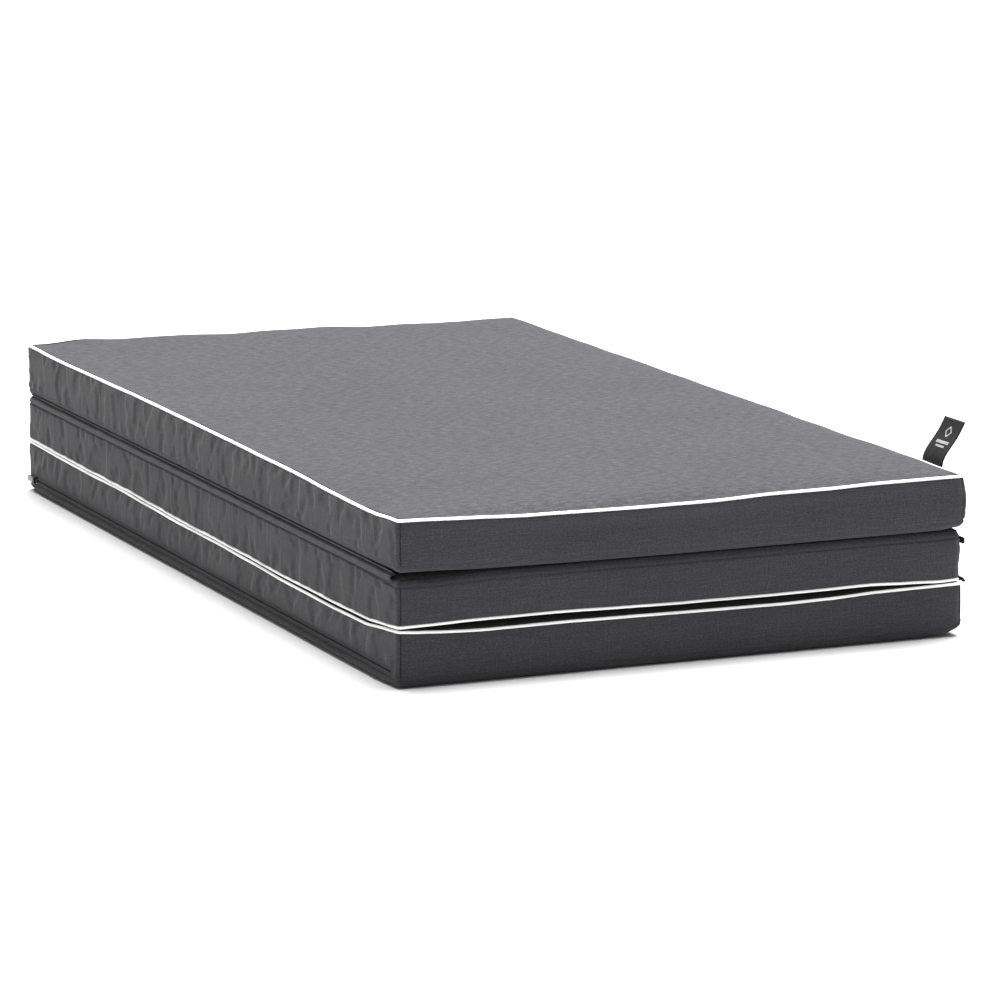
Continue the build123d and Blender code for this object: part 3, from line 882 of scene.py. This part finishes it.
TUBE = tube_tree()
STITCHES = stitch_tree()
COIL = coil_tree()


def along(name, paths, tree, numbers, material, closed=False, radii=None):
    """A plain mesh that the tree makes along the paths, each a list of points."""
    curve = bpy.data.curves.new(name + "_path", "CURVE")
    curve.dimensions = "3D"
    for points in paths:
        spline = curve.splines.new("POLY")
        spline.points.add(len(points) - 1)
        flat = np.concatenate([points, np.ones((len(points), 1))], 1)
        spline.points.foreach_set("co", flat.ravel())
        if radii is not None:
            spline.points.foreach_set("radius", radii)
        spline.use_cyclic_u = closed
    guide = bpy.data.objects.new(name + "_path", curve)
    bpy.context.scene.collection.objects.link(guide)
    modifier = guide.modifiers.new("nodes", "NODES")
    modifier.node_group = tree
    for item in tree.interface.items_tree:
        if item.in_out == "INPUT" and item.name in numbers:
            modifier[item.identifier] = numbers[item.name]
        if item.in_out == "INPUT" and item.name == "Material":
            modifier[item.identifier] = material
    seen = guide.evaluated_get(bpy.context.evaluated_depsgraph_get())
    mesh = bpy.data.meshes.new_from_object(seen)
    mesh.name = name
    bpy.data.objects.remove(guide)
    piece = bpy.data.objects.new(name, mesh)
    bpy.context.scene.collection.objects.link(piece)
    return piece


def cloth_uv(obj, points, regions):
    """Writes the cloth UV map, in metres, with the weft along U on every panel of cloth."""
    mesh = obj.data
    layer = mesh.uv_layers.new(name="cloth")
    corner = np.zeros(len(mesh.loops), int)
    mesh.loops.foreach_get("vertex_index", corner)
    region = np.repeat(regions, 4)
    x, y, z = points[corner].T
    u = np.where((region == 2) | (region == 4), y, x)
    v = np.where((region == 0) | (region == 5), y, z)
    v = v + 0.07 * region
    layer.data.foreach_set("uv", np.stack([u, v], 1).ravel())


def make_cover(panel, blown):
    """The whole padded cover of one panel, closed, with its seams and zip slit."""
    grid, fields, side, bottom, top = cover_shape(panel, blown)
    flat = grid.gather(grid.side_points(), grid.face_points(False), grid.face_points(True))
    points = grid.gather(side, bottom, top)
    quads, regions = grid.topology()
    cover = mesh_from(panel + "_cover", to_stack(panel, points), quads, CANVAS)
    cloth_uv(cover, flat, regions)
    slack = cover.data.attributes.new("slack", "FLOAT", "POINT")
    loose = np.full(len(points), -1.0)
    loose[:len(grid.rings) * grid.nc] = np.tile(fields.slack, len(grid.rings))
    slack.data.foreach_set("value", loose)
    # This attribute marks the upright corner seams above the underside seam, where the canvas gets
    # painted shade
    painted_seam_shade = cover.data.attributes.new("painted_seam_shade", "FLOAT", "POINT")
    sewn = np.zeros(len(points))
    sewn[:len(grid.rings) * grid.nc] = np.outer(grid.rings[:, 1] > SEAM_Z,
                                                corner_seams(grid)).ravel()
    painted_seam_shade.data.foreach_set("value", sewn)
    cover.data.materials.append(TAPE)
    low = flat[quads, 2].min(1)
    high = flat[quads, 2].max(1)
    beside = (flat[quads, 0].max(1) < -HALF_W + 0.1 * MM)
    within = np.abs(flat[quads, 1]).max(1) < ZIP_HALF
    in_slit = beside & within & (low > ZIP_Z - SLIT_HALF - 0.01 * MM) \
        & (high < ZIP_Z + SLIT_HALF + 0.01 * MM)
    cover.data.polygons.foreach_set("material_index", in_slit.astype(int))
    cloths = ("sleep_cloth", "under_cloth", "boxing_front", "boxing_back",
              "boxing_plain_side", "boxing_zip_side", "zip_facing")
    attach(cover, panel + "_panel")
    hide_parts(*(panel + "_" + name for name in cloths))
    return grid, fields, side


DRAWN_IN = 0.86           # the piping's radius once it is pulled tight, as a share


def make_piping(panel, grid, fields):
    """Piping sleeve and the cord in it, along the sleeping face's edge."""
    path = np.zeros((grid.nc, 3))
    path[:, :2] = grid.plan(grid.loop[:, 0], grid.loop[:, 1], PIPE_IN)
    path[:, :2] += grid.out * fields.sleep_out[:, None]
    path[:, 2] = THICK - PIPE_IN + fields.sleep_edge
    chance = np.random.default_rng(SEEDS[panel] + 21)
    radii = 1 + chance.normal(0, 0.012, grid.nc)
    if panel != "upper":
        radii -= 0.2 * fields.slack
    path = to_stack(panel, path)
    for name, radius, sides, finish, slot in (
            ("_piping_sleeve", PIPE_R, 12.0, POPLIN, "piping_cloth"),
            ("_filler_cord", CORD_R, 6.0, CORD, "piping_cord")):
        piece = along(panel + name, [path], TUBE, {"Radius": DRAWN_IN * radius, "Sides": sides},
                      finish, closed=True, radii=radii)
        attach(piece, panel + "_panel")
        node = "_piping" if slot == "piping_cloth" else "_piping_cord"
        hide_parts(panel + node)


def make_foam(panel):
    """The foam block, a little smaller than the room inside the cover."""
    rings = [(11, 6), (7.5, 7.5), (6, 11), (6, 45), (7.5, 48.5), (11, 50)]
    grid = PanelGrid(50 * MM, 50 * MM, [(a * MM, b * MM) for a, b in rings])
    points = grid.gather(grid.side_points(), grid.face_points(False), grid.face_points(True))
    foam = mesh_from(panel + "_foam_block", to_stack(panel, points), grid.topology()[0], FOAM)
    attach(foam, panel + "_panel")
    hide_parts(panel + "_foam_core")


def make_zip_coil(panel):
    """The closed coil's teeth, seen in the slit."""
    ys = np.linspace(-ZIP_HALF + 3 * MM, ZIP_HALF - 3 * MM, 200)
    path = np.stack([np.full(200, -HALF_W + 0.55 * MM), ys, np.full(200, ZIP_Z)], 1)
    piece = along(panel + "_coil_teeth", [to_stack(panel, path)], COIL, {
        "Pitch": 1.4 * MM, "Loop Width": 1.1 * MM, "Loop Height": 0.6 * MM,
        "Wire": 0.26 * MM}, NYLON)
    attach(piece, panel + "_panel")
    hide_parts(panel + "_zip_coil")


def make_zip_stitches(panel, grid, side):
    """Two rows of stitches, one on each side of the zip."""
    rows = []
    heights = grid.rings[:, 1]
    zipped = np.flatnonzero((grid.out[:, 0] < -0.99) & (np.abs(grid.edge[:, 1]) < ZIP_HALF))
    for height in (ZIP_Z - STITCH_RISE, ZIP_Z + STITCH_RISE):
        ring = int(np.searchsorted(heights, height))
        share = (height - heights[ring - 1]) / (heights[ring] - heights[ring - 1])
        row = side[ring - 1, zipped] * (1 - share) + side[ring, zipped] * share
        row[:, 0] -= 0.12 * MM
        rows.append(to_stack(panel, row))
    piece = along(panel + "_zip_stitches", rows, STITCHES, {
        "Pitch": 4.0 * MM, "Stitch Length": 3.1 * MM, "Thread": 0.55 * MM}, THREAD)
    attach(piece, panel + "_panel")


for panel in PANELS:
    blown = blown_cover(SEEDS[panel])
    grid, fields, side = make_cover(panel, blown)
    make_piping(panel, grid, fields)
    make_foam(panel)
    make_zip_coil(panel)
    make_zip_stitches(panel, grid, side)


# ---------------------------------------------------------------- fold strips

STRIP_HALF_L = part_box("lower_fold_leaf_on_lower")[1][1]
SLEEP_MEET = (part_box("lower_piping")[1][2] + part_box("middle_piping")[0][2]) / 2
UNDER_MEET = (PLACE["middle"][1] + PLACE["upper"][1]) / 2


def smooth_line(points, count):
    """Evenly spaced points on a smooth curve through the given ones."""
    points = np.array(points, float)
    fine = between(points, np.linspace(0, len(points) - 1, 400))
    step = np.concatenate([[0], np.cumsum(np.linalg.norm(np.diff(fine, axis=0), axis=1))])
    at = np.interp(np.linspace(0, step[-1], count), step, np.arange(400))
    return between(fine, at)


def make_strip(name, section, y_centre, half, steps, ripple, thickness, seed, material):
    """A strip of cloth with this section, in X and Z, running along Y.
    ripple is how far its fold wanders, in X and Z."""
    line = smooth_line(section, 31)
    tangent = np.gradient(line, axis=0)
    tangent /= np.linalg.norm(tangent, axis=1)[:, None]
    normal = np.stack([tangent[:, 1], -tangent[:, 0]], 1)
    closed = np.concatenate([line + normal * thickness / 2, (line - normal * thickness / 2)[::-1]])
    share = np.linspace(0, 1, len(line))
    loose = np.sin(math.pi * share) ** 1.5
    loose = np.concatenate([loose, loose[::-1]])
    ys = np.linspace(-half, half, steps + 1)
    chance = np.random.default_rng(seed)
    wave_x, wave_z = np.zeros_like(ys), np.zeros_like(ys)
    for k in range(3, 40):
        turn = math.pi * k * ys / half
        wave_x += chance.normal() * np.sin(turn + chance.uniform(0, 6.3)) / k ** 0.5
        wave_z += chance.normal() * np.sin(turn + chance.uniform(0, 6.3)) / k ** 0.5
    wave_x *= ripple[0] / np.std(wave_x)
    wave_z *= ripple[1] / np.std(wave_z)
    count = len(closed)
    points = np.zeros((len(ys), count, 3))
    points[..., 0] = closed[None, :, 0] + wave_x[:, None] * loose[None]
    points[..., 1] = y_centre + ys[:, None]
    points[..., 2] = closed[None, :, 1] + wave_z[:, None] * loose[None]
    c = np.arange(count)
    after = (c + 1) % count
    quads = []
    for r in range(len(ys) - 1):
        quads.append(np.stack([r * count + c, r * count + after,
                               (r + 1) * count + after, (r + 1) * count + c], 1))
    for r, turned in ((0, False), (len(ys) - 1, True)):
        a = np.arange(count // 2 - 1)
        cap = np.stack([r * count + a, r * count + count - 1 - a,
                        r * count + count - 2 - a, r * count + a + 1], 1)
        quads.append(cap[:, ::-1] if turned else cap)
    strip = mesh_from(name, points.reshape(-1, 3), np.concatenate(quads), material)
    layer = strip.data.uv_layers.new(name="cloth")
    corner = np.zeros(len(strip.data.loops), int)
    strip.data.loops.foreach_get("vertex_index", corner)
    step = np.concatenate([[0], np.cumsum(np.linalg.norm(np.diff(line, axis=0), axis=1))])
    run = np.concatenate([step, step[::-1]])
    uv = np.stack([ys[corner // count], run[corner % count]], 1)
    layer.data.foreach_set("uv", uv.ravel())
    return strip


def section_at(x, z, points):
    """Section points given in millimetres from (x, z)."""
    return [(x + out * MM, z + up * MM) for out, up in points]


# Lower and middle panels: a strip folded double over the piping, and hanging a little
lower_section = section_at(HALF_W, SLEEP_MEET, [
    (0.4, -7.6), (1.3, -5.6), (2.1, -3.4), (2.6, -1.5), (4.0, -0.4), (6.0, -1.3),
    (7.8, -3.2), (9.2, -3.5), (8.9, -1.8), (6.9, 0.8), (4.4, 2.4), (2.5, 3.3),
    (1.6, 5.2), (0.4, 7.6)])
lower_strip = make_strip("lower_fold_strip", lower_section, 0.0, STRIP_HALF_L, 300,
                         (0.5 * MM, 0.3 * MM), 0.75 * MM, 51, CANVAS)
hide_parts("lower_fold_leaf_on_lower", "lower_fold_leaf_on_middle")
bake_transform(lower_strip)

# Middle and upper panels: a strip lying against both rounded edges, creased between them
upper_section = [(-x, z) for x, z in section_at(HALF_W, UNDER_MEET, [
    (0.6, -7.2), (1.5, -5.8), (1.9, -3.8), (1.2, -2.0), (-1.0, -0.8), (-3.2, 0.0),
    (-1.9, 1.1), (-0.4, 2.0), (0.9, 3.4)])]
upper_strip = make_strip("upper_fold_strip", upper_section[::-1], 0.0, STRIP_HALF_L, 300,
                         (0.35 * MM, 0.2 * MM), 0.75 * MM, 52, CANVAS)
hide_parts("upper_fold_leaf_on_middle", "upper_fold_leaf_on_upper")
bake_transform(upper_strip)


# ---------------------------------------------------------------- woven label

label_low, label_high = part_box("upper_woven_label")
LABEL_HALF = (label_high[1] - label_low[1]) / 2
LABEL_Y = (label_high[1] + label_low[1]) / 2


def label_ribbon():
    """Black satin ribbon, jacquard woven in polyester: a soft gloss along its fine ribs,
    with a plain diamond and two bars woven in pale grey."""
    material, tree, shader = new_material("black_jacquard_ribbon", 0.55, **{
        "Sheen Weight": 0.03, "Specular IOR Level": 0.3})
    cloth = add(tree, "ShaderNodeUVMap", uv_map="cloth").outputs["UV"]
    axes = add(tree, "ShaderNodeSeparateXYZ", {"Vector": cloth})
    across, along_it = axes.outputs["X"], axes.outputs["Y"]
    far = 0.0
    for place, middle in ((across, 0.0), (along_it, 42 * MM)):
        off = add(tree, MATH, {0: place, 1: middle}, operation="SUBTRACT").outputs[0]
        off = add(tree, MATH, {0: off}, operation="ABSOLUTE").outputs[0]
        far = add(tree, MATH, {0: far, 1: off}, operation="ADD").outputs[0]
    motif = add(tree, MATH, {0: far, 1: 5.8 * MM, 2: 1.2 * MM}, operation="COMPARE").outputs[0]
    for height, half, thick in ((29 * MM, 13 * MM, 1.7 * MM), (24 * MM, 9 * MM, 1.1 * MM)):
        bar = add(tree, MATH, {0: along_it, 1: height, 2: thick}, operation="COMPARE").outputs[0]
        wide = add(tree, MATH, {0: across, 1: 0.0, 2: half}, operation="COMPARE").outputs[0]
        bar = add(tree, MATH, {0: bar, 1: wide}, operation="MULTIPLY").outputs[0]
        motif = add(tree, MATH, {0: motif, 1: bar}, operation="MAXIMUM").outputs[0]
    ribs = add(tree, "ShaderNodeTexWave", {
        "Vector": cloth, "Scale": math.pi / (20 * 0.6 * MM), "Distortion": 0.4},
        bands_direction="Y").outputs["Fac"]
    wear = add(tree, "ShaderNodeTexNoise", {
        "Vector": cloth, "Scale": 1 / (6 * MM), "Detail": 4.0}).outputs["Fac"]
    dark, pale = (
        add(tree, RAMP, {"Fac": wear}, stops=stops).outputs["Color"]
        for stops in (((0.3, "#131314"), (0.7, "#1b1b1d")), ((0.35, "#8c8c8c"), (0.65, "#b4b4b4"))))
    both = add(tree, "ShaderNodeMixRGB", {
        "Fac": motif, "Color1": dark, "Color2": pale}).outputs[0]
    raised = add(tree, MATH, {0: ribs, 1: motif}, operation="ADD").outputs[0]
    dress(tree, shader, both, raised, 0.12 * MM, 0.6)
    return material


RIBBON = label_ribbon()
label_section = section_at(label_low[0], label_low[2], [
    (-2.0, -3.0), (-0.6, 0.5), (0.8, 6.5), (5.0, 14.0), (11.5, 22.5), (17.5, 30.5),
    (22.5, 39.0), (26.4, 46.5)])
label = make_strip("woven_label", label_section, LABEL_Y, LABEL_HALF, 18,
                   (0.25 * MM, 0.1 * MM), 0.9 * MM, 61, RIBBON)
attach(label, "upper_panel")
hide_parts("upper_woven_label")


# ---------------------------------------------------------------- finishes of the CAD parts

for name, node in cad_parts.items():
    kind = name.split("_", 1)[1]
    if kind in ("zip_slider", "zip_pull", "zip_stops", "zip_tapes"):
        node.data.materials.clear()
        node.data.materials.append(TAPE if kind == "zip_tapes" else ENAMEL)


# ---------------------------------------------------------------- floor, light and camera

def pale_floor():
    """Matt white vinyl, rolled out as a backdrop."""
    material, tree, shader = new_material("white_backdrop_vinyl", 0.9)
    place = add(tree, "ShaderNodeTexCoord").outputs["Object"]
    noise = add(tree, "ShaderNodeTexNoise", {"Vector": place, "Scale": 3.0}).outputs["Fac"]
    colour = add(tree, RAMP, {"Fac": noise}, stops=[(0.3, "#c9c9c9"), (0.7, "#cdcdcd")])
    tree.links.new(colour.outputs["Color"], shader.inputs["Base Color"])
    return material


reach = 30.0
floor = mesh_from("floor", [(-reach, -reach, -0.5 * MM), (reach, -reach, -0.5 * MM),
                            (reach, reach, -0.5 * MM), (-reach, reach, -0.5 * MM)],
                  [(0, 1, 2, 3)], pale_floor())


def sun(name, azimuth, elevation, strength, angle):
    """A soft light from far off. Azimuth 0 is from -Y, and 90 from +X."""
    light = bpy.data.lights.new(name, "SUN")
    light.energy = strength
    light.angle = math.radians(angle)
    lamp = bpy.data.objects.new(name, light)
    a, e = math.radians(azimuth), math.radians(elevation)
    away = Vector((math.sin(a) * math.cos(e), -math.cos(a) * math.cos(e), math.sin(e)))
    lamp.rotation_mode = "QUATERNION"
    lamp.rotation_quaternion = away.to_track_quat("Z", "Y")
    bpy.context.scene.collection.objects.link(lamp)


sun("overhead_softbox", 140, 72, 10.4, 46)

world = bpy.data.worlds.new("studio")
bpy.context.scene.world = world
world.use_nodes = True
world.node_tree.nodes["Background"].inputs["Color"].default_value = (1, 1, 1, 1)
world.node_tree.nodes["Background"].inputs["Strength"].default_value = 0.42
bpy.context.scene.view_settings.view_transform = "Standard"

camera_data = bpy.data.cameras.new("camera")
camera_data.lens = 180.3
camera_data.sensor_width = 36
camera_data.clip_end = 200
camera = bpy.data.objects.new("camera", camera_data)
bpy.context.scene.collection.objects.link(camera)
bpy.context.scene.camera = camera
toward = Vector((0.3891, 0.9018, -0.1882))
camera.location = Vector((0.0470, 0.0, 0.0623)) - toward * 5.763
camera.rotation_mode = "QUATERNION"
camera.rotation_quaternion = toward.to_track_quat("-Z", "Y")
